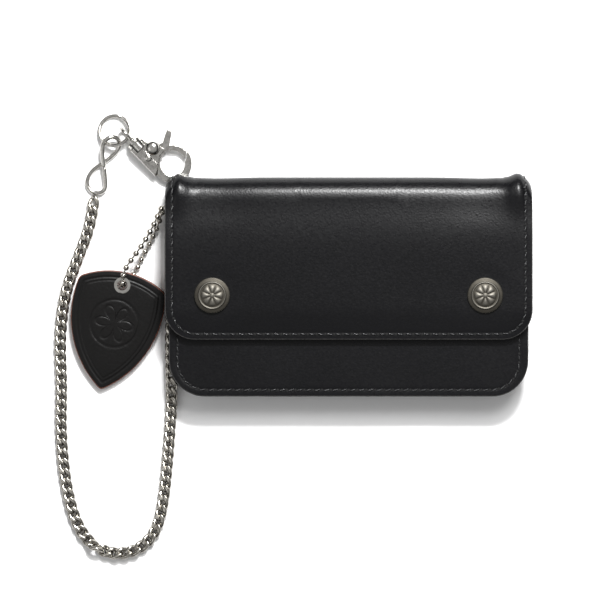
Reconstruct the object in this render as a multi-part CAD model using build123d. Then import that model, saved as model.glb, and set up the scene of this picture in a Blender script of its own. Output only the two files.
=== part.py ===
"""Chain wallet, lying on its back: a leather wallet with a snapped flap, and its belt chain laid beside it.

Row frame, millimetres: +X to the right, +Y to the fold, +Z up through the flap. The origin is on the surface it
lies on, under the middle of the closed wallet. The leather panels lie parallel to XY and are stacked along Z.
"""

import math
import os

from build123d import *

os.makedirs("parts", exist_ok=True)

# ---- Driving dimensions -------------------------------------------------------------------------------------

flap_width = 168.0
body_width = 164.5
wallet_height = 100.5  # from the bottom edge to the top of the fold
wallet_thickness = 20.8  # closed, without the snap caps
flap_length = 74.5  # from the top of the fold to the flap's edge
outer_leather = 1.6
lining_leather = 0.8
body_corner = 16.5
flap_corner = 13.7

snap_x = 62.3  # each snap, left and right of the middle
snap_y = -4.0
cap_radius = 8.2

chain_width = 5.8
ball_diameter = 2.8
swivel_angle = -46.0  # direction of the clasp's long axis, in the XY plane
gap = 0.3  # between pieces that move past each other

# ---- The stack of leather, from the surface up ---------------------------------------------------------------

y_bottom = -wallet_height / 2
y_top = wallet_height / 2
fold_radius = wallet_thickness / 2
fold_y = y_top - fold_radius
fold_z = fold_radius
pocket_top = 33.0  # top edge of the front panel and of the divider
pocket_half_width = 71.5  # between the folds of the two side gussets
gusset_top = 24.0

back_lining_top = outer_leather + lining_leather
divider_bottom = back_lining_top + 5.0  # the bill compartment lies under the divider
divider_top = divider_bottom + lining_leather
card_leather = 0.6
coin_back_bottom = 11.0
front_lining_bottom = 13.8
front_bottom = front_lining_bottom + lining_leather
front_top = front_bottom + outer_leather
flap_bottom = wallet_thickness - outer_leather
flap_lining_bottom = flap_bottom - lining_leather


def save(node, shape):
    """Writes one node and returns it."""
    export_step(shape, f"parts/{node}.step")
    return shape


def slab(x_low, x_high, y_low, y_high, z_low, z_high):
    """A plain block between two corners."""
    block = Box(x_high - x_low, y_high - y_low, z_high - z_low)
    return Pos((x_low + x_high) / 2, (y_low + y_high) / 2, (z_low + z_high) / 2) * block


def panel(width, y_low, y_high, corner, z_low, z_high):
    """A flat leather panel with two rounded corners at its lower edge."""
    blank = Pos(0, (y_low + y_high) / 2) * Rectangle(width, y_high - y_low)
    outline = fillet(blank.vertices().group_by(Axis.Y)[0], corner)
    return Pos(0, 0, z_low) * extrude(outline, z_high - z_low)


def fold_strip(width, inner_radius, outer_radius, from_degrees, to_degrees):
    """Leather that follows the round fold, between two angles seen along X, where 0 degrees points to +Y."""
    centre = (fold_y, fold_z)
    turn = to_degrees - from_degrees
    outside = CenterArc(centre, outer_radius, from_degrees, turn)
    inside = CenterArc(centre, inner_radius, from_degrees, turn)
    section = make_face([outside, Line(outside @ 1, inside @ 1), inside, Line(inside @ 0, outside @ 0)])
    return extrude(Plane.YZ * section, width / 2, both=True)


def post_hole(x, y, radius, z_low, z_high):
    """The tool for a round hole through the panels between two heights."""
    return Pos(x, y, (z_low + z_high) / 2) * Cylinder(radius, z_high - z_low)


def bent_tube(points, radii, radius):
    """A round tube along straight runs joined by tangent arcs, one arc radius for each inner point."""
    path = FilletPolyline(*points, radius=radii)
    section = Plane(origin=path @ 0, z_dir=path % 0) * Circle(radius)
    tube = sweep(section, path)
    share = tube.volume / (math.pi * radius**2 * path.length)
    print(f"  tube of {path.length:.1f} mm, volume over section times length {share:.4f}")
    return tube


def run_radii(points, least):
    """The arc radius at each inner point: 0.45 of the shorter run over the tangent of half the turn."""
    radii = []
    for before, here, after in zip(points, points[1:], points[2:]):
        run_in = Vector(*here) - Vector(*before)
        run_out = Vector(*after) - Vector(*here)
        half_turn = math.radians(run_in.get_angle(run_out)) / 2
        radii.append(0.45 * min(run_in.length, run_out.length) / math.tan(half_turn))
    print("  arc radii:", [round(r, 1) for r in radii], "least asked:", least)
    return radii


# ---- The shell: back, fold and flap --------------------------------------------------------------------------

hinge_gap_degrees = 1.5  # each side of the bend line, which is the outermost line of the fold
snap_places = [(-snap_x, snap_y), (snap_x, snap_y)]
shank_radius = 1.5
shank_clearance = 0.05
socket_radius = 5.5

outer_back = panel(body_width, y_bottom, fold_y, body_corner, 0, outer_leather)
outer_back += fold_strip(body_width, fold_radius - outer_leather, fold_radius, -90, -hinge_gap_degrees)
save("outer_back", outer_back)

lining_in = fold_radius - outer_leather - lining_leather
lining_out = fold_radius - outer_leather
back_lining = panel(body_width, y_bottom, fold_y, body_corner, outer_leather, back_lining_top)
back_lining += fold_strip(body_width, lining_in, lining_out, -90, -hinge_gap_degrees)
save("back_lining", back_lining)

flap_low = y_top - flap_length
flap = panel(flap_width, flap_low, fold_y, flap_corner, flap_bottom, wallet_thickness)
flap += fold_strip(flap_width, fold_radius - outer_leather, fold_radius, hinge_gap_degrees, 90)
flap_lining = panel(flap_width, flap_low, fold_y, flap_corner, flap_lining_bottom, flap_bottom)
flap_lining += fold_strip(flap_width, lining_in, lining_out, hinge_gap_degrees, 90)
for x, y in snap_places:
    flap -= post_hole(x, y, shank_radius + shank_clearance, flap_bottom, wallet_thickness)
    flap_lining -= post_hole(x, y, socket_radius + shank_clearance, flap_lining_bottom, flap_bottom)
save("flap", flap)
save("flap_lining", flap_lining)

# ---- The pockets: front panel, divider, card slots, coin pocket, gussets --------------------------------------

zip_y = 19.0
zip_half_length = 58.0
slot_half_width = 3.6
tape_half_width = 7.0

front_panel = panel(body_width, y_bottom, pocket_top, body_corner, front_bottom, front_top)
front_panel -= Pos(0, zip_y, front_bottom) * extrude(
    SlotOverall(2 * zip_half_length + 8, 2 * slot_half_width), outer_leather
)
front_lining = panel(body_width, y_bottom, pocket_top, body_corner, front_lining_bottom, front_bottom)
tape_end = zip_half_length + 4
front_lining -= slab(
    -tape_end, tape_end, zip_y - tape_half_width, zip_y + tape_half_width, front_lining_bottom, front_bottom
)
for x, y in snap_places:
    front_panel -= post_hole(x, y, shank_radius + shank_clearance, front_bottom, front_top)
    front_lining -= post_hole(x, y, shank_radius + shank_clearance, front_lining_bottom, front_bottom)
save("front_panel", front_panel)
save("front_lining", front_lining)

pocket_bottom = -38.0  # bottom edge of the pieces that hang inside
save(
    "bill_divider",
    slab(-pocket_half_width, pocket_half_width, pocket_bottom, pocket_top, divider_bottom, divider_top),
)
card_half_width = 48.0
for step in range(2):
    card_low_z = divider_top + step * card_leather
    card_panel = slab(
        -card_half_width,
        card_half_width,
        pocket_bottom,
        pocket_top - 12 * (step + 1),
        card_low_z,
        card_low_z + card_leather,
    )
    save(f"card_slot_panel_{step + 1}", card_panel)

coin_back = slab(-66, 66, pocket_bottom, pocket_top - 4, coin_back_bottom, coin_back_bottom + lining_leather)
save("coin_pocket_back", coin_back)

gusset_leather = 0.8
gusset_mouth_x = 82.0  # where the gusset's two leaves meet the panels
gusset_fold_x = 72.2  # where they meet each other
gusset_middle_z = (back_lining_top + front_lining_bottom) / 2
straight_bottom = y_bottom + body_corner


def gusset_section():
    """The V of a gusset, with its mouth at +X, drawn with its own x across and its y along Z."""
    low, high = back_lining_top, front_lining_bottom
    points = [
        (gusset_mouth_x, low),
        (gusset_mouth_x, low + gusset_leather),
        (gusset_fold_x + gusset_leather, gusset_middle_z),
        (gusset_mouth_x, high - gusset_leather),
        (gusset_mouth_x, high),
        (gusset_fold_x, gusset_middle_z + gusset_leather / 2),
        (gusset_fold_x, gusset_middle_z - gusset_leather / 2),
    ]
    return make_face(Polyline(*points, close=True))


right_gusset = extrude(Plane.XZ * gusset_section(), -(gusset_top - straight_bottom))
right_gusset = Pos(0, straight_bottom, 0) * right_gusset
save("gusset_right", right_gusset)
save("gusset_left", mirror(right_gusset, Plane.YZ))

# The bottom gusset closes the pockets below: a strip that stands on the back lining along the rounded bottom edge.
rim_inset = 1.0
bottom_gusset_top = -43.5  # it ends where the chain comes in at the side


def bottom_block(inset):
    """The space between the linings, set in from the panels' edge, along their bottom."""
    block = panel(
        body_width - 2 * inset,
        y_bottom + inset,
        0,
        body_corner - inset,
        back_lining_top,
        front_lining_bottom,
    )
    return block & slab(-90, 90, y_bottom, bottom_gusset_top, 0, wallet_thickness)


save("gusset_bottom", bottom_block(rim_inset) - bottom_block(rim_inset + gusset_leather))

# ---- The coin pocket's zip -----------------------------------------------------------------------------------

tape = slab(
    -tape_end + 0.1,
    tape_end - 0.1,
    zip_y - tape_half_width + 0.1,
    zip_y + tape_half_width - 0.1,
    front_lining_bottom + 0.1,
    front_bottom - 0.1,
)
save("zip_tape", tape)
teeth_half_width = 1.5
teeth_top = front_bottom + 0.8
teeth = slab(
    -zip_half_length,
    zip_half_length,
    zip_y - teeth_half_width,
    zip_y + teeth_half_width,
    front_bottom - 0.1,
    teeth_top,
)
save("zip_teeth", teeth)

slider_x = -50.0  # the zip is closed with its slider at the left end
slider_half_length = 4.2
slider_wall = 1.0
slider_half_width = teeth_half_width + gap + slider_wall
slider_top = front_top + 0.5
slider = slab(
    slider_x - slider_half_length,
    slider_x + slider_half_length,
    zip_y - slider_half_width,
    zip_y + slider_half_width,
    front_bottom + gap,
    slider_top,
)
slider -= slab(
    slider_x - slider_half_length,
    slider_x + slider_half_length,
    zip_y - slider_half_width + slider_wall,
    zip_y + slider_half_width - slider_wall,
    front_bottom + gap,
    teeth_top + gap,
)
bridge_top = flap_lining_bottom - 0.5
bridge = slab(slider_x - 2.4, slider_x + 2.4, zip_y - 0.6, zip_y + 0.6, slider_top, bridge_top)
bridge_eye = slab(slider_x - 1.5, slider_x + 1.5, zip_y - 0.6, zip_y + 0.6, slider_top, bridge_top - 0.35)
save("zip_slider", slider + (bridge - bridge_eye))

pull_thickness = 0.7
pull_z = slider_top + 0.05
pull = Pos(slider_x + 8.4, zip_y, pull_z) * extrude(SlotOverall(19.5, 4.6), pull_thickness)
pull -= slab(slider_x - 0.5, slider_x + 3.0, zip_y - 1.1, zip_y + 1.1, pull_z, pull_z + pull_thickness)
save("zip_pull", pull)

# ---- The two snap fasteners ----------------------------------------------------------------------------------

stud_flange = 5.0
stud_radius = 2.6
stud_top = 18.5
flange_height = 0.6
socket_bottom = flap_lining_bottom - 0.8
bore_radius = stud_radius + 0.5
rim_height = 1.1
crown_height = 0.8
bore_top = stud_top + gap

for side, (x, y) in zip(("left", "right"), snap_places):
    at = Pos(x, y, 0)

    stud = Pos(0, 0, front_top + flange_height / 2) * Cylinder(stud_flange, flange_height)
    stud += Pos(0, 0, (front_top + stud_top) / 2) * Cylinder(stud_radius, stud_top - front_top)
    stud += Pos(0, 0, (front_lining_bottom + front_top) / 2) * Cylinder(shank_radius, front_top - front_lining_bottom)
    save(f"snap_stud_{side}", at * stud)

    washer = Pos(0, 0, front_lining_bottom - 0.3) * Cylinder(4.0, 0.6)
    save(f"snap_washer_{side}", at * washer)

    socket = Pos(0, 0, (socket_bottom + flap_bottom) / 2) * Cylinder(socket_radius, flap_bottom - socket_bottom)
    socket -= Pos(0, 0, (socket_bottom + bore_top) / 2) * Cylinder(bore_radius, bore_top - socket_bottom)
    save(f"snap_socket_{side}", at * socket)

    cap = Pos(0, 0, wallet_thickness + rim_height / 2) * Cylinder(cap_radius, rim_height)
    crown_centre = wallet_thickness + rim_height + crown_height / 2
    cap += Pos(0, 0, crown_centre) * Cone(cap_radius - 0.5, cap_radius - 3.0, crown_height)
    cap += Pos(0, 0, (flap_bottom + wallet_thickness) / 2) * Cylinder(shank_radius, outer_leather)
    save(f"snap_cap_{side}", at * cap)

# ---- Keeper, D-ring and end ring inside the left end of the fold -----------------------------------------------

ring_z = gusset_middle_z  # the middle of the open side, where the chain runs
keeper_x = -80.0
keeper_half_width = 1.9
bar_y = 42.0
bar_radius = 0.9
dee_half_width = 3.1  # from its middle to the wire's centreline
dee_foot_y = 31.6

strap = slab(-78.0, -66.0, 33.0, fold_y, back_lining_top, back_lining_top + 1.2)
keeper_block = slab(keeper_x - keeper_half_width, -70.0, 39.2, bar_y + 2.2, back_lining_top, 4.4)
keeper_block += slab(
    keeper_x - keeper_half_width, keeper_x + keeper_half_width, bar_y - 2.0, bar_y + 2.2, 4.0, ring_z + 2.0
)
keeper_block -= Pos(keeper_x, bar_y, ring_z) * Rot(0, 90, 0) * Cylinder(bar_radius + 0.1, 2 * keeper_half_width)
inside_fold = Pos(keeper_x, fold_y, fold_z) * Rot(0, 90, 0) * Cylinder(lining_in - 0.05, 30)
below_fold = slab(keeper_x - 10, keeper_x + 20, 20, fold_y, 0, wallet_thickness)
save("chain_keeper", strap + (keeper_block & (inside_fold + below_fold)))

dee_points = [
    (keeper_x, bar_y, ring_z),
    (keeper_x + dee_half_width, bar_y, ring_z),
    (keeper_x + dee_half_width, dee_foot_y, ring_z),
    (keeper_x - dee_half_width, dee_foot_y, ring_z),
    (keeper_x - dee_half_width, bar_y, ring_z),
    (keeper_x - 0.02, bar_y, ring_z),
]
save("dee_ring", bent_tube(dee_points, [1.1, 2.8, 2.8, 1.1], bar_radius))

end_ring_radius = 3.0
end_ring_wire = 0.7
end_ring_y = 30.4
end_ring = Pos(keeper_x, end_ring_y, ring_z) * Rot(0, 90, 0) * Torus(end_ring_radius, end_ring_wire)
save("chain_end_ring", end_ring)

# ---- The belt clasp ------------------------------------------------------------------------------------------
# It is drawn in its own frame: u along its axis from the swivel to the hook, v across, w up, with the origin in
# the middle of the collar. The hook's bow is beside the axis, on the +v side.

collar_centre = (-99.3, 67.3)
collar_height = 3.7
clasp_tilt = 4.4  # the hook's end is lower than the collar
clasp_at = Pos(collar_centre[0], collar_centre[1], collar_height) * Rot(0, 0, swivel_angle) * Rot(0, clasp_tilt, 0)

bow_u = 20.4
bow_v = 5.9
bow_radius = 7.3
bow_half_width = 1.55
bow_half_height = 1.6
body_half_height = 2.3
collar_radius = 3.5
pivot_u = 10.4
pivot_v = 3.9
pin_radius = 0.8
nose_degrees = 50.0
gate_reach = 14.7  # from the pivot to the gate's tip, which swings clear inside the hook's nose
gate_root_degrees = 148.0


def bow_arc(from_degrees, to_degrees, half_width, half_height):
    """Part of the clasp's round bow, between two angles about its centre."""
    turn = to_degrees - from_degrees
    outside = CenterArc((bow_u, bow_v), bow_radius + half_width, from_degrees, turn)
    inside = CenterArc((bow_u, bow_v), bow_radius - half_width, from_degrees, turn)
    section = make_face([outside, Line(outside @ 1, inside @ 1), inside, Line(inside @ 0, outside @ 0)])
    return extrude(section, half_height, both=True)


def along_u(u_low, u_high, radius):
    """A cylinder on the clasp's axis."""
    return Pos((u_low + u_high) / 2, 0, 0) * Rot(0, 90, 0) * Cylinder(radius, u_high - u_low)


hook = bow_arc(-190, nose_degrees, bow_half_width, bow_half_height)
nose = bow_arc(nose_degrees - 1, 92, bow_half_width, bow_half_height)
hook += nose - Pos(pivot_u, pivot_v, 0) * Cylinder(gate_reach + 0.35, 12)
plate_points = [(4.6, -3.0), (16.0, -2.6), (18.4, -2.6), (13.6, 4.2), (13.2, 8.0), (8.2, 6.8), (4.6, 3.2)]
plate = extrude(make_face(Polyline(*plate_points, close=True)), body_half_height, both=True)
plate -= Pos(bow_u, bow_v, 0) * Cylinder(bow_radius - bow_half_width, 12)
gate_slot = Pos(11.5, 6.9, -0.3) * Box(9.6, 11.2, 3.4)
clasp_body = (plate + hook) - gate_slot + along_u(0.2, 5.6, collar_radius)
clasp_body -= along_u(0.1, 3.6, 1.25)
clasp_body -= along_u(3.5, 5.0, 2.3)
clasp_body -= Pos(pivot_u, pivot_v, 0) * Cylinder(pin_radius + 0.02, 12)
save("clasp_body", clasp_at * clasp_body)

eye_radius = 3.15
eye_wire = 0.8
eye_u = -4.3
eye = Pos(eye_u, 0, 0) * Rot(90, 0, 0) * Torus(eye_radius, eye_wire)
eye += along_u(eye_u + eye_radius, 3.7, 1.2)
eye += along_u(3.7, 4.6, 2.0)
save("swivel_eye", clasp_at * eye)

gate_half_height = 1.1
gate = bow_arc(nose_degrees, gate_root_degrees, 1.2, gate_half_height)
gate &= Pos(pivot_u, pivot_v, 0) * Cylinder(gate_reach, 12)
arm_points = [(9.0, 2.6), (12.2, 2.6), (14.6, 8.4), (14.8, 11.2), (10.6, 10.2), (9.0, 5.6)]
gate += extrude(make_face(Polyline(*arm_points, close=True)), gate_half_height, both=True)
tab_points = [(10.4, 9.2), (13.4, 10.6), (9.6, 15.9), (7.2, 15.2)]
gate += extrude(make_face(Polyline(*tab_points, close=True)), gate_half_height, both=True)
gate -= Pos(pivot_u, pivot_v, 0) * Cylinder(pin_radius + 0.06, 12)
save("clasp_gate", clasp_at * gate)

pin = Pos(pivot_u, pivot_v, 0) * Cylinder(pin_radius, 2 * body_half_height + 0.4)
save("gate_pin", clasp_at * pin)

spring_low = -1.95
spring = Pos(pivot_u, pivot_v, spring_low + 0.25) * (Cylinder(1.7, 0.5) - Cylinder(pin_radius + 0.1, 0.5))
save("gate_spring", clasp_at * spring)

# ---- Split ring and figure-of-eight link -----------------------------------------------------------------------

split_radius = 6.9
split_wire = 0.85
split_ring = Pos(-107.6, 71.9, 2.65) * Rot(0, 0, -60) * Rot(0, -13.5, 0) * Torus(split_radius, split_wire)
save("split_ring", split_ring)

link_wire = 0.9
link_points = [
    (-112.4, 55.6, 3.5),
    (-113.2, 67.9, 5.25),
    (-105.6, 68.5, 3.3),
    (-105.0, 61.6, 1.2),
    (-119.6, 54.0, 0.95),
    (-120.2, 44.2, 0.95),
    (-111.6, 43.6, 1.9),
    (-112.35, 55.3, 3.4),
]
save("eight_link", bent_tube(link_points, [3.6, 3.4, 3.0, 3.2, 3.6, 3.6], link_wire))

# ---- The curb chain: from the end ring down the wallet's open side, round, and up to the link ---------------------

table_z = chain_width / 2
curb_route = [
    (-80.2, 26.6, ring_z),
    (-81.5, 10.0, ring_z),
    (-81.2, -8.0, ring_z),
    (-81.6, -26.0, 8.3),
    (-81.4, -40.0, 6.6),
    (-81.2, -51.0, 3.4),
    (-82.0, -66.0, table_z),
    (-83.3, -82.0, table_z),
    (-84.7, -96.0, table_z),
    (-86.8, -107.6, table_z),
    (-90.2, -115.2, table_z),
    (-96.3, -120.8, table_z),
    (-104.1, -123.2, table_z),
    (-112.2, -122.2, table_z),
    (-119.2, -117.8, table_z),
    (-124.3, -110.8, table_z),
    (-128.3, -99.5, table_z),
    (-131.0, -84.0, table_z),
    (-132.4, -65.0, table_z),
    (-131.9, -45.0, table_z),
    (-133.0, -24.0, table_z),
    (-130.8, -3.5, table_z),
    (-124.2, 14.0, table_z),
    (-118.3, 29.0, table_z),
    (-116.9, 41.9, table_z),
]
print("curb chain")
save("curb_chain", bent_tube(curb_route, run_radii(curb_route, 3 * chain_width), chain_width / 2))

# ---- The tag on its ball chain -----------------------------------------------------------------------------------

tag_at = Pos(-103.8, 0.9, 3.7) * Rot(0, 0, -12) * Rot(4.2, 0, 0)
tag_layer = 1.5
shoulder_x = 20.2
shoulder_y = 0.2
crown_y = 6.1
tip_y = -49.4
eyelet_hole = 2.4
eyelet_flange = 3.75

crown = ThreePointArc((-shoulder_x, shoulder_y), (0, crown_y), (shoulder_x, shoulder_y))
right_side = ThreePointArc((shoulder_x, shoulder_y), (19.3, -23.0), (0, tip_y))
left_side = ThreePointArc((0, tip_y), (-19.3, -23.0), (-shoulder_x, shoulder_y))
tag_outline = make_face([crown, right_side, left_side])
tag_outline -= Circle(eyelet_hole + 0.55)
save("tag_back", tag_at * extrude(tag_outline, tag_layer))
save("tag_face", tag_at * Pos(0, 0, tag_layer) * extrude(tag_outline, tag_layer))

flange = 0.4
eyelet = Pos(0, 0, tag_layer) * Cylinder(eyelet_hole + 0.5, 2 * tag_layer)
eyelet += Pos(0, 0, 2 * tag_layer + flange / 2) * Cylinder(eyelet_flange, flange)
eyelet += Pos(0, 0, -flange / 2) * Cylinder(eyelet_flange, flange)
eyelet -= Cylinder(eyelet_hole, 12)
save("tag_eyelet", tag_at * eyelet)

coupling_y = 37.3
ball_route = [
    (keeper_x, coupling_y, 9.9),
    (keeper_x, coupling_y, 12.7),
    (-85.6, 37.4, 11.6),
    (-89.0, 28.8, 10.0),
    (-94.4, 19.4, 9.3),
    (-98.9, 13.4, 9.1),
    (-103.0, 7.6, 9.3),
    (-103.8, 1.0, 9.2),
    (-103.8, 1.0, 1.45),
    (-98.6, 5.4, 1.45),
    (-95.6, 12.2, 1.5),
    (-91.6, 19.6, 1.9),
    (-87.6, 28.2, 3.4),
    (-85.2, 36.0, 4.3),
    (keeper_x, coupling_y, 3.9),
    (keeper_x, coupling_y, 6.2),
]
print("ball chain")
save("ball_chain", bent_tube(ball_route, run_radii(ball_route, ball_diameter), ball_diameter / 2))
coupling = Pos(keeper_x, coupling_y, 8.05) * Cylinder(1.6, 3.7)
save("ball_chain_coupling", coupling)
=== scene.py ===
import math
import random

import bpy
import numpy as np
from mathutils import Matrix, Vector, noise


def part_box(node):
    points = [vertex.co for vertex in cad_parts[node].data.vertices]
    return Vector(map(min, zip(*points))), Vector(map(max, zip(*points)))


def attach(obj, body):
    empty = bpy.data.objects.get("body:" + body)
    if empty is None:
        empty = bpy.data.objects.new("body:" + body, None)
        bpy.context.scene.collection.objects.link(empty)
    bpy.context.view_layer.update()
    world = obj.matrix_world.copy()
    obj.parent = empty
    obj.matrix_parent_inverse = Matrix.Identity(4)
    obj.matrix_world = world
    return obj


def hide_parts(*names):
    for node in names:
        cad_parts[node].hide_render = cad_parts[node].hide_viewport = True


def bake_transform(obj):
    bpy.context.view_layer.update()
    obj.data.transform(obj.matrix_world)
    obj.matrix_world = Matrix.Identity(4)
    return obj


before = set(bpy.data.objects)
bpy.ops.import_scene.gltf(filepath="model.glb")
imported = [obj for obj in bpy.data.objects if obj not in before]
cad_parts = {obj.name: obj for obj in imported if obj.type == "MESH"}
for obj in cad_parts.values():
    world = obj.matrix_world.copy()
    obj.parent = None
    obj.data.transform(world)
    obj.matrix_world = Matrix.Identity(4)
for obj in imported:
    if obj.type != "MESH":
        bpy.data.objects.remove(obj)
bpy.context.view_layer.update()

# The looks of a chain wallet lying on its back. Shapes are worked out in millimetres and stored in metres.
MM = 0.001


# ---- Mesh helpers --------------------------------------------------------------------------------


def make_piece(name, verts, faces, materials, face_slots=None, smooth=True):
    """A mesh object from vertices in millimetres, with one or more materials."""
    mesh = bpy.data.meshes.new(name)
    mesh.from_pydata([tuple(c * MM for c in v) for v in verts], [], faces)
    for material in materials:
        mesh.materials.append(material)
    if face_slots is not None:
        mesh.polygons.foreach_set("material_index", face_slots)
    mesh.polygons.foreach_set("use_smooth", [smooth] * len(mesh.polygons))
    mesh.update()
    piece = bpy.data.objects.new(name, mesh)
    bpy.context.scene.collection.objects.link(piece)
    return piece


class Parts:
    """Collects shapes into one mesh, with a material number for each."""

    def __init__(self):
        self.verts = []
        self.faces = []
        self.slots = []

    def add(self, verts, faces, slot=0):
        start = len(self.verts)
        self.verts.extend(verts)
        self.faces.extend([tuple(i + start for i in f) for f in faces])
        self.slots.extend([slot] * len(faces))

    def piece(self, name, materials, smooth=True):
        return make_piece(name, self.verts, self.faces, materials, self.slots, smooth)


def modified(piece, *steps):
    """The piece with modifiers applied. A step is (type, {setting: value})."""
    for kind, settings in steps:
        modifier = piece.modifiers.new(kind.lower(), kind)
        for key, value in settings.items():
            setattr(modifier, key, value)
    bpy.context.view_layer.update()
    evaluated = piece.evaluated_get(bpy.context.evaluated_depsgraph_get())
    mesh = bpy.data.meshes.new_from_object(evaluated)
    piece.modifiers.clear()
    piece.data = mesh
    return piece


def tube(points, radius, sides=10, closed=False, flatten=None):
    """A round tube along points, with one radius or one for each point. flatten is (width, height) factors."""
    points = [Vector(p) for p in points]
    count = len(points)
    radii = [radius] * count if isinstance(radius, (int, float)) else list(radius)
    verts = []
    faces = []
    normal = None
    for i, point in enumerate(points):
        before = points[i - 1] if i or closed else point
        after = points[(i + 1) % count] if i < count - 1 or closed else point
        tangent = (after - before).normalized()
        if normal is None:
            normal = tangent.orthogonal().normalized()
            if flatten:
                normal = tangent.cross(Vector((0, 0, 1))).normalized()
        normal = (normal - tangent * normal.dot(tangent)).normalized()
        other = tangent.cross(normal)
        wide, high = flatten or (1, 1)
        for k in range(sides):
            angle = 2 * math.pi * k / sides
            around = normal * (wide * math.cos(angle)) + other * (high * math.sin(angle))
            verts.append(tuple(point + around * radii[i]))
    rings = count if closed else count - 1
    for i in range(rings):
        a = i * sides
        b = ((i + 1) % count) * sides
        for k in range(sides):
            m = (k + 1) % sides
            faces.append((a + k, a + m, b + m, b + k))
    if not closed:
        faces.append(tuple(range(sides))[::-1])
        faces.append(tuple(range((count - 1) * sides, count * sides)))
    return verts, faces


def lathe(profile, sides=64):
    """A turned shape about Z from (radius, height) pairs, the first and last on the axis."""
    verts = [(0, 0, profile[0][1])]
    faces = []
    for radius, height in profile[1:-1]:
        for k in range(sides):
            angle = 2 * math.pi * k / sides
            verts.append((radius * math.cos(angle), radius * math.sin(angle), height))
    last = len(verts)
    verts.append((0, 0, profile[-1][1]))
    rings = len(profile) - 2
    for k in range(sides):
        m = (k + 1) % sides
        faces.append((0, 1 + m, 1 + k))
        for i in range(rings - 1):
            a = 1 + i * sides
            faces.append((a + k, a + m, a + sides + m, a + sides + k))
        a = 1 + (rings - 1) * sides
        faces.append((a + k, a + m, last))
    return verts, faces


def placed(shape, matrix):
    """The same shape moved by a matrix."""
    verts, faces = shape
    return [tuple(matrix @ Vector(v)) for v in verts], faces


def ball(radius, squash=1.0, rings=10, sides=16):
    """A sphere, or one flattened along Z."""
    profile = [(0, -radius * squash)]
    for i in range(1, rings):
        angle = math.pi * i / rings
        profile.append((radius * math.sin(angle), -radius * squash * math.cos(angle)))
    profile.append((0, radius * squash))
    return lathe(profile, sides)


def bell(x, centre, width):
    """A smooth hump of height 1 at the centre."""
    return math.exp(-((x - centre) / width) ** 2)


def smoothstep(x):
    """From 0 to 1, level at both ends."""
    x = min(max(x, 0.0), 1.0)
    return x * x * (3 - 2 * x)


def spread(low, high, step):
    """Numbers from low to high, about a step apart."""
    count = max(1, round(abs(high - low) / step))
    return [low + (high - low) * i / count for i in range(count + 1)]


# ---- Materials -----------------------------------------------------------------------------------


def material(name, color, roughness, metallic=0.0, **sockets):
    """A principled material and its node tree. Even values are set on the shader's own sockets."""
    made = bpy.data.materials.new(name)
    made.use_nodes = True
    made.diffuse_color = (*color, 1)
    shader = made.node_tree.nodes["Principled BSDF"]
    shader.inputs["Base Color"].default_value = (*color, 1)
    shader.inputs["Roughness"].default_value = roughness
    shader.inputs["Metallic"].default_value = metallic
    for key, value in sockets.items():
        shader.inputs[key.replace("_", " ")].default_value = value
    return made


def texture(made, kind, scale, **settings):
    """A texture node in object space; its inputs or settings are given by name. Scale is per metre."""
    nodes = made.node_tree.nodes
    place = nodes.get("Texture Coordinate") or nodes.new("ShaderNodeTexCoord")
    node = nodes.new(kind)
    made.node_tree.links.new(place.outputs["Object"], node.inputs["Vector"])
    node.inputs["Scale"].default_value = scale
    for key, value in settings.items():
        if key in node.inputs:
            node.inputs[key].default_value = value
        else:
            setattr(node, key, value)
    return node


def ramp(made, source, stops):
    """A colour ramp on one output. stops are (place, colour), where a colour is a grey or three numbers."""
    node = made.node_tree.nodes.new("ShaderNodeValToRGB")
    made.node_tree.links.new(source, node.inputs["Fac"])
    points = node.color_ramp.elements
    while len(points) < len(stops):
        points.new(0.5)
    for point, (place, color) in zip(points, stops):
        point.position = place
        point.color = (color, color, color, 1) if isinstance(color, float) else (*color, 1)
    return node.outputs["Color"]


def drive(made, source, socket):
    made.node_tree.links.new(source, made.node_tree.nodes["Principled BSDF"].inputs[socket])


def bump(made, source, strength, distance, under=None):
    """A bump from one output, on top of another bump if there is one. Distance is in metres."""
    node = made.node_tree.nodes.new("ShaderNodeBump")
    node.inputs["Strength"].default_value = strength
    node.inputs["Distance"].default_value = distance
    made.node_tree.links.new(source, node.inputs["Height"])
    if under is not None:
        made.node_tree.links.new(under, node.inputs["Normal"])
    drive(made, node.outputs["Normal"], "Normal")
    return node.outputs["Normal"]


def leather(name, dark, light, roughness, grain=1150.0, depth=0.00009):
    """Fine-grained leather: pebbles, pores and slow changes of tone and gloss."""
    made = material(name, light, roughness, Specular_IOR_Level=0.19)
    tone = texture(made, "ShaderNodeTexNoise", 22.0, Detail=3.0, Roughness=0.5)
    drive(made, ramp(made, tone.outputs["Fac"], [(0.3, dark), (0.7, light)]), "Base Color")
    patchy = texture(made, "ShaderNodeTexNoise", 900.0, Detail=3.0)
    drive(
        made,
        ramp(made, patchy.outputs["Fac"], [(0.3, roughness - 0.05), (0.72, roughness + 0.05)]),
        "Roughness",
    )
    pebbles = texture(made, "ShaderNodeTexVoronoi", grain, feature="SMOOTH_F1", Smoothness=0.6)
    wrinkles = texture(made, "ShaderNodeTexNoise", grain * 0.45, Detail=6.0, Roughness=0.65, Distortion=0.6)
    under = bump(made, wrinkles.outputs["Fac"], 0.3, depth)
    bump(made, pebbles.outputs["Distance"], 0.4, depth, under)
    return made


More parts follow.
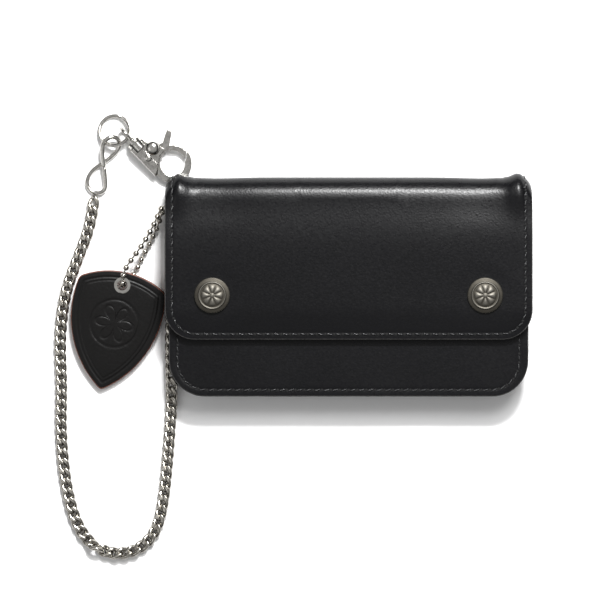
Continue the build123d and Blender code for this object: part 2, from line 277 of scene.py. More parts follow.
def metal(name, color, dark, roughness, wear=0.10, scale=500.0):
    """Plated metal with faint scratches, and tarnish in patches."""
    made = material(name, color, roughness, 1.0)
    stain = texture(made, "ShaderNodeTexNoise", scale, Detail=6.0, Roughness=0.62)
    drive(made, ramp(made, stain.outputs["Fac"], [(0.32, dark), (0.58, color)]), "Base Color")
    rub = texture(made, "ShaderNodeTexNoise", scale * 2.6, Detail=5.0)
    drive(made, ramp(made, rub.outputs["Fac"], [(0.3, roughness), (0.75, roughness + wear)]), "Roughness")
    bump(made, rub.outputs["Fac"], 0.12, 0.00004)
    return made


black_leather = leather("black_leather", (0.0022, 0.0022, 0.0027), (0.0031, 0.0031, 0.0037), 0.31)
lining_leather = leather("lining_leather", (0.0065, 0.0065, 0.007), (0.0105, 0.0105, 0.011), 0.6, 900.0)
tag_black = leather("tag_black", (0.0018, 0.0017, 0.0016), (0.0028, 0.0025, 0.0024), 0.42, 1000.0)

raw_edge = material("raw_edge", (0.045, 0.042, 0.04), 0.75)
fibres = texture(raw_edge, "ShaderNodeTexNoise", 900.0, Detail=6.0, Roughness=0.7)
drive(
    raw_edge,
    ramp(raw_edge, fibres.outputs["Fac"], [(0.35, (0.008, 0.008, 0.008)), (0.75, (0.05, 0.047, 0.045))]),
    "Base Color",
)
bump(raw_edge, fibres.outputs["Fac"], 0.8, 0.0002)

tag_core = material("tag_core", (0.12, 0.035, 0.02), 0.6)
core_fibres = texture(tag_core, "ShaderNodeTexNoise", 700.0, Detail=6.0, Roughness=0.7)
drive(
    tag_core,
    ramp(tag_core, core_fibres.outputs["Fac"], [(0.3, (0.05, 0.014, 0.01)), (0.7, (0.20, 0.065, 0.035))]),
    "Base Color",
)
bump(tag_core, core_fibres.outputs["Fac"], 0.7, 0.00015)

thread = material("thread", (0.009, 0.009, 0.01), 0.34)
twist = texture(thread, "ShaderNodeTexWave", 900.0, bands_direction="DIAGONAL", Distortion=1.0)
drive(
    thread,
    ramp(thread, twist.outputs["Fac"], [(0.2, (0.004, 0.004, 0.004)), (0.8, (0.018, 0.018, 0.02))]),
    "Base Color",
)
bump(thread, twist.outputs["Fac"], 0.7, 0.0001)

# Near-black discs laid on each stitch hole: painted shade standing in for the dark inside of the awl holes, a
# little uneven
painted_hole_shade = material("painted_hole_shade", (0.002, 0.002, 0.002), 0.9)
hole_shade_speckle = texture(painted_hole_shade, "ShaderNodeTexNoise", 1500.0, Detail=3.0)
drive(painted_hole_shade, ramp(painted_hole_shade, hole_shade_speckle.outputs["Fac"], [(0.3, 0.001), (0.8, 0.006)]), "Base Color")

nickel = metal("nickel", (0.58, 0.565, 0.535), (0.40, 0.385, 0.36), 0.10)
chain_nickel = metal("chain_nickel", (0.47, 0.45, 0.41), (0.18, 0.165, 0.14), 0.16, 0.12, 700.0)
bead_nickel = metal("bead_nickel", (0.50, 0.475, 0.43), (0.26, 0.235, 0.205), 0.14, 0.12, 700.0)
spring_steel = metal("spring_steel", (0.50, 0.50, 0.50), (0.35, 0.34, 0.33), 0.25)
zip_metal = metal("zip_metal", (0.52, 0.50, 0.46), (0.30, 0.28, 0.25), 0.28, 0.15)

cap_silver = material("cap_silver", (0.55, 0.53, 0.49), 0.3, 1.0)
cap_nodes = cap_silver.node_tree.nodes
cap_height = cap_nodes.new("ShaderNodeAttribute")
cap_height.attribute_name = "recess"
patina = texture(cap_silver, "ShaderNodeTexNoise", 900.0, Detail=6.0, Roughness=0.7)
mixed = cap_nodes.new("ShaderNodeMath")
mixed.operation = "MULTIPLY_ADD"
mixed.inputs[1].default_value = 0.35
cap_silver.node_tree.links.new(patina.outputs["Fac"], mixed.inputs[0])
cap_silver.node_tree.links.new(cap_height.outputs["Fac"], mixed.inputs[2])
drive(
    cap_silver,
    ramp(
        cap_silver,
        mixed.outputs[0],
        [(0.2, (0.035, 0.031, 0.025)), (0.55, (0.068, 0.063, 0.053)), (0.95, (0.145, 0.137, 0.12))],
    ),
    "Base Color",
)
drive(cap_silver, ramp(cap_silver, mixed.outputs[0], [(0.2, 0.58), (0.9, 0.52)]), "Roughness")
bump(cap_silver, patina.outputs["Fac"], 0.2, 0.00006)

tape_weave = material("tape_weave", (0.012, 0.012, 0.012), 0.85, Sheen_Weight=0.3)
weave = texture(tape_weave, "ShaderNodeTexWave", 500.0, Distortion=0.5)
drive(tape_weave, ramp(tape_weave, weave.outputs["Fac"], [(0.2, 0.006), (0.8, 0.02)]), "Base Color")
bump(tape_weave, weave.outputs["Fac"], 0.6, 0.0001)


def finish_node(node, made):
    """Gives a carried-over CAD node its detailed material."""
    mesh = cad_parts[node].data
    mesh.materials.clear()
    mesh.materials.append(made)


lining_nodes = [
    "gusset_left",
    "gusset_right",
    "gusset_bottom",
    "bill_divider",
    "card_slot_panel_1",
    "card_slot_panel_2",
    "coin_pocket_back",
    "chain_keeper",
]
nickel_nodes = [f"snap_{part}_{side}" for part in ("stud", "washer", "socket") for side in ("left", "right")]
nickel_nodes += ["dee_ring", "chain_end_ring", "gate_pin", "swivel_eye", "ball_chain_coupling", "tag_eyelet"]
for node in lining_nodes:
    finish_node(node, lining_leather)
for node in nickel_nodes:
    finish_node(node, nickel)
for node in ("zip_slider", "zip_pull"):
    finish_node(node, zip_metal)
finish_node("gate_spring", spring_steel)
finish_node("zip_tape", tape_weave)


# ---- Camera and stage ----------------------------------------------------------------------------

view_centre = (-22.2, -6.1)
view_width = 274.7
camera_height = 2000.0
middle_height = 14.0  # the view's width is measured at this height above the table

camera_data = bpy.data.cameras.new("camera")
camera_data.sensor_width = 36.0
camera_data.lens = 36.0 * (camera_height - middle_height) / view_width
camera = bpy.data.objects.new("camera", camera_data)
camera.location = (view_centre[0] * MM, view_centre[1] * MM, camera_height * MM)
bpy.context.scene.collection.objects.link(camera)
bpy.context.scene.camera = camera

floor_white = material("floor_white", (0.93, 0.93, 0.93), 0.9, Specular_IOR_Level=0.1)
floor_tooth = texture(floor_white, "ShaderNodeTexNoise", 300.0, Detail=3.0)
drive(floor_white, ramp(floor_white, floor_tooth.outputs["Fac"], [(0.0, 0.92), (1.0, 0.94)]), "Base Color")
floor_half = 1500.0
floor_z = -0.05
floor = make_piece(
    "floor",
    [(-floor_half, -floor_half, floor_z), (floor_half, -floor_half, floor_z),
     (floor_half, floor_half, floor_z), (-floor_half, floor_half, floor_z)],
    [(0, 1, 2, 3)],
    [floor_white],
)


def area_light(name, place, aim, size, energy, size_y=None):
    """A soft rectangular light, placed and aimed in millimetres."""
    data = bpy.data.lights.new(name, "AREA")
    data.energy = energy
    data.size = size * MM
    if size_y:
        data.shape = "RECTANGLE"
        data.size_y = size_y * MM
    light = bpy.data.objects.new(name, data)
    light.location = Vector(place) * MM
    light.rotation_euler = (Vector(aim) - Vector(place)).to_track_quat("-Z", "Y").to_euler()
    bpy.context.scene.collection.objects.link(light)
    return light


area_light("key", (240, 560, 1000), (0, 0, 0), 420, 6.5)
area_light("fold_strip", (110, 640, 760), (0, 40, 15), 240, 17.0, 100)
area_light("fill", (-800, -260, 800), (0, 0, 0), 700, 1.2)

world = bpy.data.worlds.new("world")
world.use_nodes = True
world_nodes = world.node_tree.nodes
sky_place = world_nodes.new("ShaderNodeTexCoord")
sky_split = world_nodes.new("ShaderNodeSeparateXYZ")
sky_ramp = world_nodes.new("ShaderNodeValToRGB")
world.node_tree.links.new(sky_place.outputs["Generated"], sky_split.inputs["Vector"])
world.node_tree.links.new(sky_split.outputs["Z"], sky_ramp.inputs["Fac"])
world.node_tree.links.new(sky_ramp.outputs["Color"], world_nodes["Background"].inputs["Color"])
for stop, (height, grey) in zip(sky_ramp.color_ramp.elements, ((0.35, 0.04), (0.8, 0.72))):
    stop.position = height
    stop.color = (grey, grey, grey, 1)
world_nodes["Background"].inputs["Strength"].default_value = 0.7
bpy.context.scene.world = world
bpy.context.scene.view_settings.view_transform = "Standard"


# ---- The two chains ------------------------------------------------------------------------------

chain_width = 5.8
table_z = chain_width / 2
ring_z = 8.1
curb_route = [
    (-80.2, 26.6, ring_z),
    (-81.5, 10.0, ring_z),
    (-81.2, -8.0, ring_z),
    (-81.6, -26.0, 8.3),
    (-81.4, -40.0, 6.6),
    (-81.2, -51.0, 3.4),
    (-82.0, -66.0, table_z),
    (-83.3, -82.0, table_z),
    (-84.7, -96.0, table_z),
    (-86.8, -107.6, table_z),
    (-90.2, -115.2, table_z),
    (-96.3, -120.8, table_z),
    (-104.1, -123.2, table_z),
    (-112.2, -122.2, table_z),
    (-119.2, -117.8, table_z),
    (-124.3, -110.8, table_z),
    (-128.3, -99.5, table_z),
    (-131.0, -84.0, table_z),
    (-132.4, -65.0, table_z),
    (-131.9, -45.0, table_z),
    (-133.0, -24.0, table_z),
    (-130.8, -3.5, table_z),
    (-124.2, 14.0, table_z),
    (-118.3, 29.0, table_z),
    (-116.9, 41.9, table_z),
]
keeper_x = -80.0
coupling_y = 37.3
ball_route = [
    (keeper_x, coupling_y, 9.9),
    (keeper_x, coupling_y, 12.7),
    (-85.6, 37.4, 11.6),
    (-89.0, 28.8, 10.0),
    (-94.4, 19.4, 9.3),
    (-98.9, 13.4, 9.1),
    (-103.0, 7.6, 9.3),
    (-103.8, 1.0, 9.2),
    (-103.8, 1.0, 1.45),
    (-98.6, 5.4, 1.45),
    (-95.6, 12.2, 1.5),
    (-91.6, 19.6, 1.9),
    (-87.6, 28.2, 3.4),
    (-85.2, 36.0, 4.3),
    (keeper_x, coupling_y, 3.9),
    (keeper_x, coupling_y, 6.2),
]


def route_line(points):
    """Closely spaced points, in millimetres, along the NURBS spline that the route's points control."""
    curve = bpy.data.curves.new("route", "CURVE")
    curve.dimensions = "3D"
    curve.resolution_u = 16
    spline = curve.splines.new("NURBS")
    spline.points.add(len(points) - 1)
    for control, point in zip(spline.points, points):
        control.co = (*[c * MM for c in point], 1)
    spline.order_u = 3
    spline.use_endpoint_u = True
    holder = bpy.data.objects.new("route", curve)
    bpy.context.scene.collection.objects.link(holder)
    bpy.context.view_layer.update()
    mesh = bpy.data.meshes.new_from_object(holder)
    line = [v.co / MM for v in mesh.vertices]
    bpy.data.objects.remove(holder)
    return line


class Along:
    """Places along a line by distance from its start."""

    def __init__(self, line):
        self.line = line
        self.at = [0.0]
        for a, b in zip(line, line[1:]):
            self.at.append(self.at[-1] + (b - a).length)
        self.length = self.at[-1]

    def point(self, distance):
        distance = min(max(distance, 0.0), self.length)
        i = min(int(np.searchsorted(self.at, distance)), len(self.line) - 1)
        i = max(i, 1)
        share = (distance - self.at[i - 1]) / max(self.at[i] - self.at[i - 1], 1e-9)
        return self.line[i - 1].lerp(self.line[i], share)

    def direction(self, distance, reach=1.0):
        return (self.point(distance + reach) - self.point(distance - reach)).normalized()


link_pitch = 4.55
link_wire = 1.0
link_ground = 1.42  # half the thickness left where the links are ground flat
link_half_length = (link_pitch + 2 * link_wire) / 2
link_half_width = table_z - link_wire
link_twist = math.radians(-54)


def curb_link(stretch=1.0):
    """One link about the origin, its long way on X, twisted so that the chain lies flat."""
    points = []
    steps = 30
    for i in range(steps):
        angle = 2 * math.pi * i / steps
        x = link_half_length * stretch * math.copysign(abs(math.cos(angle)) ** 0.85, math.cos(angle))
        y = link_half_width * math.copysign(abs(math.sin(angle)) ** 0.9, math.sin(angle))
        turn = link_twist * x / link_half_length
        points.append((x, y * math.cos(turn), y * math.sin(turn)))
    verts, faces = tube(points, link_wire, 9, closed=True)
    return [(x, y, max(-link_ground, min(link_ground, z))) for x, y, z in verts], faces


curb_line = route_line(curb_route)
curb = Along(curb_line)
join_at = min(range(len(curb_line)), key=lambda i: (curb_line[i] - Vector((-115.5, -119.6, table_z))).length)
join_distance = curb.at[join_at]
chain_shape = Parts()
link_count = int(curb.length / link_pitch)
first_link = (curb.length - (link_count - 1) * link_pitch) / 2
random.seed(5)
for n in range(link_count):
    distance = first_link + n * link_pitch
    along = curb.direction(distance, 2.0)
    across = Vector((0, 0, 1)).cross(along).normalized()
    up = along.cross(across)
    past_join = max(-1.0, min(1.0, (distance - join_distance) / 9.0))
    roll = math.radians(14 - 20 * (1 + past_join) / 2 + random.uniform(-2.5, 2.5))
    turned = Matrix((along, across, up)).transposed().to_4x4() @ Matrix.Rotation(roll, 4, "X")
    odd = abs(distance - join_distance) < link_pitch / 2
    if odd:
        turned = turned @ Matrix.Rotation(math.radians(50), 4, "X")
    shape = placed(curb_link(1.12 if odd else 1.0), turned)
    lowest = min(v[2] for v in shape[0])
    centre = curb.point(distance)
    lift = Vector((centre.x, centre.y, centre.z - table_z - lowest))
    chain_shape.add([tuple(Vector(v) + lift) for v in shape[0]], shape[1])
chain_piece = chain_shape.piece("curb_chain_links", [chain_nickel])
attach(chain_piece, "wallet")
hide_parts("curb_chain")

ball_line = route_line(ball_route)
balls = Along(ball_line)
ball_radius = 1.4
ball_pitch = 3.95
ball_shape = Parts()
ball_count = int(balls.length / ball_pitch) + 1
first_ball = (balls.length - (ball_count - 1) * ball_pitch) / 2
for n in range(ball_count):
    place = balls.point(first_ball + n * ball_pitch)
    ball_shape.add(*placed(ball(ball_radius), Matrix.Translation(place)))
ball_shape.add(*tube([balls.point(d) for d in spread(0, balls.length, 0.6)], 0.42, 8))
ball_piece = ball_shape.piece("ball_chain_balls", [bead_nickel])
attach(ball_piece, "wallet")
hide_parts("ball_chain")


# ---- Leather panels ------------------------------------------------------------------------------
# A panel is a rounded rectangle of width by length, cut flat, whose points are (x, s) with s along its length.
# Rings of points follow its edge, each further in, and a surface function lays them in space at a depth h.

leather_thickness = 2.4  # outer leather and lining together
fold_radius = 10.4
fold_y = 39.85
fold_z = 10.4
y_bottom = -50.25
back_length = fold_y - y_bottom
fold_length = math.pi * fold_radius
flap_edge_y = -24.25
shell_length = back_length + fold_length + fold_y - flap_edge_y
back_half_width = 82.25
flap_half_width = 84.0


def half_width(s):
    """Half the shell's width: the flap's part is a little wider than the back."""
    widening = smoothstep((s - back_length + 6) / (fold_length - 4))
    return back_half_width + (flap_half_width - back_half_width) * widening


def ring(inset, start, length, widths, corners, side_steps, inset_end=None):
    """One ring of (x, s) points at an inset from the edge. corners are the radii at start and end."""
    last = inset if inset_end is None else inset_end
    corner_steps = 14
    end_steps = 44
    points = []
    for end, corner in ((0, corners[0]), (1, corners[1])):
        in_here = inset if end == 0 else last
        corner = max(corner - in_here, 0.02)
        s_end = start + in_here if end == 0 else start + length - in_here
        sign = 1 if end == 0 else -1
        reach = widths(s_end + sign * corner) - inset - corner
        flat = [reach * (2 * i / end_steps - 1) for i in range(1, end_steps)]
        arc = [math.pi / 2 * i / corner_steps for i in range(corner_steps + 1)]
        right = [(reach + corner * math.sin(a), s_end + sign * corner * (1 - math.cos(a))) for a in arc]
        left = [(-x, s) for x, s in right]
        points.append(left[::-1] + [(x, s_end) for x in flat] + right)
    low, high = points
    s_low = low[-1][1]
    s_high = high[-1][1]
    sides = [s_low + (s_high - s_low) * share for share in side_steps]
    right_side = [(widths(s) - inset, s) for s in sides]
    left_side = [(-x, s) for x, s in right_side[::-1]]
    return low + right_side + high[::-1] + left_side


def panel_mesh(parts, rings, surface, groove, thickness):
    """Outer face, rim and inner face of a panel. rings are (inset, points)."""
    count = len(rings[0][1])
    layers = []
    for inset, points in reversed(rings[2:]):
        layers.append((points, [0.0 - groove(inset)] * count, 0))
    rim_depths = [0.10, 0.5, thickness - 0.5, thickness - 0.10]
    layers.append((rings[1][1], [-rim_depths[0]] * count, 1))
    layers.append((rings[0][1], [-rim_depths[1]] * count, 1))
    layers.append((rings[0][1], [-rim_depths[2]] * count, 1))
    layers.append((rings[1][1], [-rim_depths[3]] * count, 2))
    for inset, points in rings[2:]:
        layers.append((points, [-thickness] * count, 2))
    verts = []
    faces = []
    slots = []
    for points, depths, _ in layers:
        for (x, s), h in zip(points, depths):
            verts.append(surface(x, s, h))
    for i in range(len(layers) - 1):
        a = i * count
        b = a + count
        slot = max(layers[i][2], layers[i + 1][2])
        for k in range(count):
            m = (k + 1) % count
            faces.append((a + k, b + k, b + m, a + m))
            slots.append(slot)
    faces.append(tuple(range(count)))
    slots.append(0)
    last = (len(layers) - 1) * count
    faces.append(tuple(range(last, last + count))[::-1])
    slots.append(2)
    start = len(parts.verts)
    parts.verts.extend(verts)
    parts.faces.extend([tuple(i + start for i in f) for f in faces])
    parts.slots.extend(slots)


def stitch_groove(inset):
    """How far the stitch line pulls the surface down."""
    return 0.16 * bell(inset, 3.3, 0.55)


def box_centre(node):
    """The middle of a CAD node's box, in millimetres."""
    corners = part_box(node)
    return tuple((corners[0] + corners[1]) / 2 / MM)


snap_places = [box_centre(f"snap_cap_{side}") for side in ("left", "right")]

end_rounding = 5.8  # how the fold's ends are rounded off
ear_height = 2.2  # the fold flares at each end
ear_from_end = 6.6
ear_width = 3.4
flap_droop = 1.1  # the flap's edge lies lower than the fold


def shell_surface(x, s, h):
    """A point of the folded shell: s runs from the back's bottom edge, over the fold, to the flap's edge."""
    if s < back_length:
        y = y_bottom + s
        out = Vector((0, 0, -1))
        base = Vector((x, y, 0))
    elif s < back_length + fold_length:
        angle = (s - back_length) / fold_radius
        out = Vector((0, math.sin(angle), -math.cos(angle)))
        base = Vector((x, fold_y, fold_z)) + out * fold_radius
    else:
        y = fold_y - (s - back_length - fold_length)
        out = Vector((0, 0, 1))
        base = Vector((x, y, 2 * fold_radius))
        base.z -= flap_droop * smoothstep((-10 - y) / 14)
        for place in snap_places:
            away = math.hypot(x - place[0], y - place[1])
            base.z -= 0.22 * bell(away, 9.0, 2.6)
    up = smoothstep((s - back_length) / fold_length)
    if up > 0:
        on_fold = math.sin(math.pi * min(1.0, (s - back_length) / (fold_length + 12)))
        from_end = half_width(s) - abs(x)
        flare = ear_height * bell(from_end, ear_from_end, ear_width) * max(on_fold, 0.0) ** 2
        sag = -0.5 * bell(from_end, 24, 12) * max(on_fold, 0.0)
        if from_end < end_rounding:
            drop = end_rounding - math.sqrt(end_rounding**2 - (end_rounding - max(from_end, 0)) ** 2)
            base.y -= drop * max(on_fold, 0.0) ** 2
        past_top = s - back_length - fold_length
        slump = -1.3 * bell(past_top, -1.0, 13)
        wave = 0.3 * noise.noise(Vector((x * 0.022, s * 0.03, 2.0)))
        base += out * (flare + sag) + Vector((0, 0, wave * up + slump * up))
    return tuple(base + out * h)


def side_spread(dense_from, dense_to, length, step, dense_step):
    """Shares along a panel's side, closer together over the fold."""
    if dense_to <= dense_from:
        return [i / round(length / step) for i in range(1, round(length / step))]
    places = spread(0, dense_from, step)[1:] + spread(dense_from, dense_to, dense_step)[1:]
    places += spread(dense_to, length, step)[1:-1]
    return [p / length for p in places]


def panel_insets(deepest, fine_from):
    """Ring insets: close at the edge and stitch line, then wider, and close again where they cross the fold."""
    edge = [0.0, 0.12, 0.45, 1.2, 2.1, 2.6, 2.95, 3.3, 3.65, 4.0, 4.6, 5.6, 7.2]
    return edge + spread(7.2, fine_from, 3.0)[1:] + spread(fine_from, deepest, 0.9)[1:]


bottom_corner = 16.5
shell_corners = (bottom_corner, 13.7)
shell_shares = side_spread(74, 106, 158, 2.6, 0.8)
shell_rings = [
    (inset, ring(inset, 0, shell_length, half_width, shell_corners, shell_shares))
    for inset in panel_insets(81.6, 62.0)
]
shell_parts = Parts()
panel_mesh(shell_parts, shell_rings, shell_surface, stitch_groove, leather_thickness)
shell = shell_parts.piece("wallet_shell", [black_leather, raw_edge, lining_leather])
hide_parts("outer_back", "back_lining", "flap", "flap_lining")

front_top_z = 16.2
pocket_top = 33.0
front_length = pocket_top - y_bottom


def front_surface(x, s, h):
    """A point of the front panel, whose s runs up from its bottom edge."""
    y = y_bottom + s
    wave = 0.25 * noise.noise(Vector((x * 0.03, y * 0.03, 7.0)))
    return (x, y, front_top_z + wave + h)


def even_width(_s):
    """Half the front panel's width, the same all the way up."""
    return back_half_width


front_shares = side_spread(0, 0, 66, 2.6, 1)
front_rings = [
    (inset, ring(inset, 0, front_length, even_width, (bottom_corner, 1.0), front_shares))
    for inset in panel_insets(41.3, 40.0)
]
front_parts = Parts()
panel_mesh(front_parts, front_rings, front_surface, stitch_groove, leather_thickness)
front = front_parts.piece("front_panel_leather", [black_leather, raw_edge, lining_leather])

# The zip's window through the front panel
zip_y = 19.0
zip_half_length = 58.0
window_half = (zip_half_length + 4.0, 3.6)
window_parts = Parts()
window_outline = []
for i in range(48):
    angle = 2 * math.pi * i / 48 + math.pi / 48
    shift = math.copysign(window_half[0] - window_half[1], math.cos(angle))
    window_outline.append((shift + window_half[1] * math.cos(angle), zip_y + window_half[1] * math.sin(angle)))
low_ring = [(x, y, 12.0) for x, y in window_outline]
high_ring = [(x, y, 18.0) for x, y in window_outline]
window_faces = [(i, (i + 1) % 48, 48 + (i + 1) % 48, 48 + i) for i in range(48)]
window_faces += [tuple(range(48))[::-1], tuple(range(48, 96))]
window_parts.add(low_ring + high_ring, window_faces)
window = window_parts.piece("window_tool", [raw_edge], smooth=False)
modified(front, ("BOOLEAN", {"object": window, "operation": "DIFFERENCE", "solver": "EXACT"}))
bpy.data.objects.remove(window)
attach(front, "wallet")
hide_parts("front_panel", "front_lining")


# ---- Stitching -----------------------------------------------------------------------------------

stitch_pitch = 4.0
thread_share = 0.66  # of the pitch that the thread shows for
# (place along the stitch, height) from hole to hole
thread_rise = [
    (-0.5, -0.45),
    (-0.44, -0.12),
    (-0.25, 0.10),
    (0, 0.16),
    (0.25, 0.10),
    (0.44, -0.12),
    (0.5, -0.45),
]


def stitch_line(parts, path, surface, slant=0.34):
    """Threads along a path of (x, s) points, with a flat near-black disc of painted shade at each awl hole."""
    line = Along([Vector((x, s, 0)) for x, s in path])
    count = int(line.length / stitch_pitch)
    pitch = line.length / count
    for n in range(count):
        middle = (n + 0.5) * pitch
        points = []
        for share, h in thread_rise:
            flat = line.point(middle + share * pitch * thread_share)
            direction = line.direction(middle)
            sideways = Vector((-direction.y, direction.x, 0)) * (share * 2 * slant)
            points.append(surface(flat.x + sideways.x, flat.y + sideways.y, h))
        parts.add(*tube(points, 0.34, 7), 0)
        flat = line.point(n * pitch)
        here = Vector(surface(flat.x, flat.y, 0.0))
        out = (Vector(surface(flat.x, flat.y, 1.0)) - here).normalized()
        spot = Matrix.Translation(here - out * 0.06) @ out.to_track_quat("Z", "Y").to_matrix().to_4x4()
        # A flat near-black disc on the surface at the hole: painted shade of the awl hole, not a cut
        parts.add(*placed(ball(0.62, 0.3, 6, 10), spot), 1)


def loop_path(inset_side, inset_start, inset_end, start, length, widths, corners, shares):
    """The closed stitch path round a panel."""

    def narrowed(s):
        return widths(s) - inset_side(s) + inset_start

    path = ring(inset_start, start, length, narrowed, corners, shares, inset_end)
    return path + path[:1]


def shell_side_inset(s):
    return 4.1 - 0.8 * smoothstep((s - back_length + 10) / 20)


shell_stitches = Parts()
shell_path = loop_path(shell_side_inset, 3.0, 2.5, 0, shell_length, half_width, shell_corners, shell_shares)
stitch_line(shell_stitches, shell_path, shell_surface)
shell_thread = shell_stitches.piece("shell_stitching", [thread, painted_hole_shade])

front_stitches = Parts()
front_inset = 4.1
corner_r = bottom_corner - 3.4
front_path = [(-back_half_width + front_inset, s) for s in spread(front_length - 3, 17.2, 2.0)]
for i in range(13):
    angle = math.pi / 2 * (1 - i / 12)
    corner_x = -back_half_width + front_inset + corner_r * (1 - math.sin(angle))
    front_path.append((corner_x, 3.0 + corner_r * (1 - math.cos(angle))))
front_path += [(-x, s) for x, s in front_path[::-1]]
stitch_line(front_stitches, front_path, front_surface)
front_thread = front_stitches.piece("front_stitching", [thread, painted_hole_shade])
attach(front_thread, "wallet")

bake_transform(shell)
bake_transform(shell_thread)


# ---- Snap caps -----------------------------------------------------------------------------------

cap_radius = 8.2
cap_base = 20.75
cap_top = 2.0
petal_height = 0.42


def cap_relief(r, angle):
    """Height above the cap's base: a shallow dome, a raised ring and an eight-petalled rosette."""
    dome = cap_top * (1 - 0.55 * (r / cap_radius) ** 2)
    raised = 0.34 * bell(r, 6.0, 0.34)
    petal = petal_height * abs(math.cos(4 * angle)) ** 0.8
    within = max(0.0, math.sin(math.pi * min(max((r - 0.9) / 4.2, 0.0), 1.0)))
    boss = 0.30 * math.exp(-(r**4))
    return dome + raised + petal * within**0.7 + boss, raised + petal * within + boss


def snap_cap(place):
    """The cap's vertices, its faces, and how raised each vertex is, which the patina follows."""
    verts = []
    recess = []
    sides = 96
    radii = spread(0.12, cap_radius - 0.55, 0.16)
    for r in radii:
        for k in range(sides):
            angle = 2 * math.pi * k / sides
            height, shade = cap_relief(r, angle)
            verts.append((place[0] + r * math.cos(angle), place[1] + r * math.sin(angle), cap_base + height))
            recess.append(0.25 + 1.6 * shade)
    shoulder = cap_relief(cap_radius - 0.55, 0.0)[0]
    rim = [
        (cap_radius - 0.25, shoulder - 0.12),
        (cap_radius - 0.05, shoulder - 0.4),
        (cap_radius, shoulder - 0.75),
        (cap_radius - 0.1, 0.15),
        (cap_radius - 0.5, 0.0),
    ]
    for r, height in rim:
        for k in range(sides):
            angle = 2 * math.pi * k / sides
            verts.append((place[0] + r * math.cos(angle), place[1] + r * math.sin(angle), cap_base + height))
            recess.append(0.55)
    faces = [tuple(range(sides))]
    rows = len(radii) + len(rim)
    for i in range(rows - 1):
        a = i * sides
        for k in range(sides):
            m = (k + 1) % sides
            faces.append((a + k, a + sides + k, a + sides + m, a + m))
    faces.append(tuple(range((rows - 1) * sides, rows * sides))[::-1])
    return verts, faces, recess


for side, place in zip(("left", "right"), snap_places):
    verts, faces, recess = snap_cap(place)
    cap = make_piece(f"snap_cap_{side}_relief", verts, faces, [cap_silver])
    attribute = cap.data.attributes.new("recess", "FLOAT", "POINT")
    attribute.data.foreach_set("value", recess)
    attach(cap, "flap")
    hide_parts(f"snap_cap_{side}")


# ---- Clasp, rings and link -----------------------------------------------------------------------

collar_centre = (-99.3, 67.3, 3.7)
clasp_frame = (
    Matrix.Translation(collar_centre)
    @ Matrix.Rotation(math.radians(-46), 4, "Z")
    @ Matrix.Rotation(math.radians(4.4), 4, "Y")
)


def cast_piece(name, node, body, extras, made, voxel, rounds):
    """A cast-metal copy of a CAD node, joined with extra shapes and then evened out to round its edges."""
    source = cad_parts[node].data
    parts = Parts()
    parts.add([tuple(v.co / MM) for v in source.vertices], [tuple(p.vertices) for p in source.polygons])
    for shape in extras:
        parts.add(*shape)
    piece = parts.piece(name, [made])
    modified(
        piece,
        ("REMESH", {"mode": "VOXEL", "voxel_size": voxel * MM, "use_smooth_shade": True}),
        ("SMOOTH", {"factor": 0.5, "iterations": rounds}),
    )
    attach(piece, body)
    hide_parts(node)
    return piece


def on_clasp(shape, u, v, w=0.0, turn=None):
    return placed(shape, clasp_frame @ Matrix.Translation((u, v, w)) @ (turn or Matrix.Identity(4)))


def rounded_plate(outline, low, high, inset=0.7):
    """A flat plate in the clasp's own plane, with bevelled edges."""
    middle = np.mean(np.array(outline), axis=0)
    verts = []
    for inward, w in ((inset, low), (0.0, low + 0.7), (0.0, high - 0.7), (inset, high)):
        for u, v in outline:
            away = np.array((u, v)) - middle
            u_in, v_in = middle + away * (1 - inward / np.hypot(*away))
            verts.append((u_in, v_in, w))
    count = len(outline)
    faces = [tuple(range(count))[::-1], tuple(range(3 * count, 4 * count))]
    for i in range(3):
        for k in range(count):
            m = (k + 1) % count
            faces.append((i * count + k, i * count + m, (i + 1) * count + m, (i + 1) * count + k))
    return placed((verts, faces), clasp_frame)


along_axis = Matrix.Rotation(math.radians(90), 4, "Y")
flange = [(0, -0.8), (3.0, -0.8), (3.6, -0.5), (3.6, 0.5), (3.0, 0.8), (0, 0.8)]
collar_band = on_clasp(lathe(flange, 40), 1.0, 0, 0, along_axis)
dome = on_clasp(ball(3.3, 0.62, 16, 32), 8.9, 4.3, 1.9)
boss = on_clasp(ball(1.7, 0.45, 10, 20), 10.8, -0.4, 2.3)
spine_outline = [(2.4, -4.0), (19.6, -4.0), (18.4, -1.8), (16.3, 0.7), (6.5, 0.9), (5.9, 5.2), (2.4, 3.9)]
spine = rounded_plate(spine_outline, -2.3, 2.5)
cast_piece("clasp_casting", "clasp_body", "clasp", [collar_band, dome, boss, spine], nickel, 0.16, 7)
cast_piece("gate_casting", "clasp_gate", "gate", [], nickel, 0.14, 6)

split_frame = (
    Matrix.Translation((-107.6, 71.9, 2.65))
    @ Matrix.Rotation(math.radians(-60), 4, "Z")
    @ Matrix.Rotation(math.radians(-13.5), 4, "Y")
)
split_radius = 6.95
split_wire = 0.82
split_points = []
for i in range(161):
    turn = 4 * math.pi * i / 160
    level = 0.42 * math.tanh((turn - 2 * math.pi) / 0.22)  # the coil steps up once, at its half-way point
    x = split_radius * math.cos(turn + 2.2)
    y = split_radius * math.sin(turn + 2.2)
    split_points.append(split_frame @ Vector((x, y, level)))
split_shape = Parts()
split_shape.add(*tube(split_points, split_wire, 12, flatten=(1.0, 0.52)))
split = split_shape.piece("split_ring_coil", [nickel])
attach(split, "wallet")
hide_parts("split_ring")

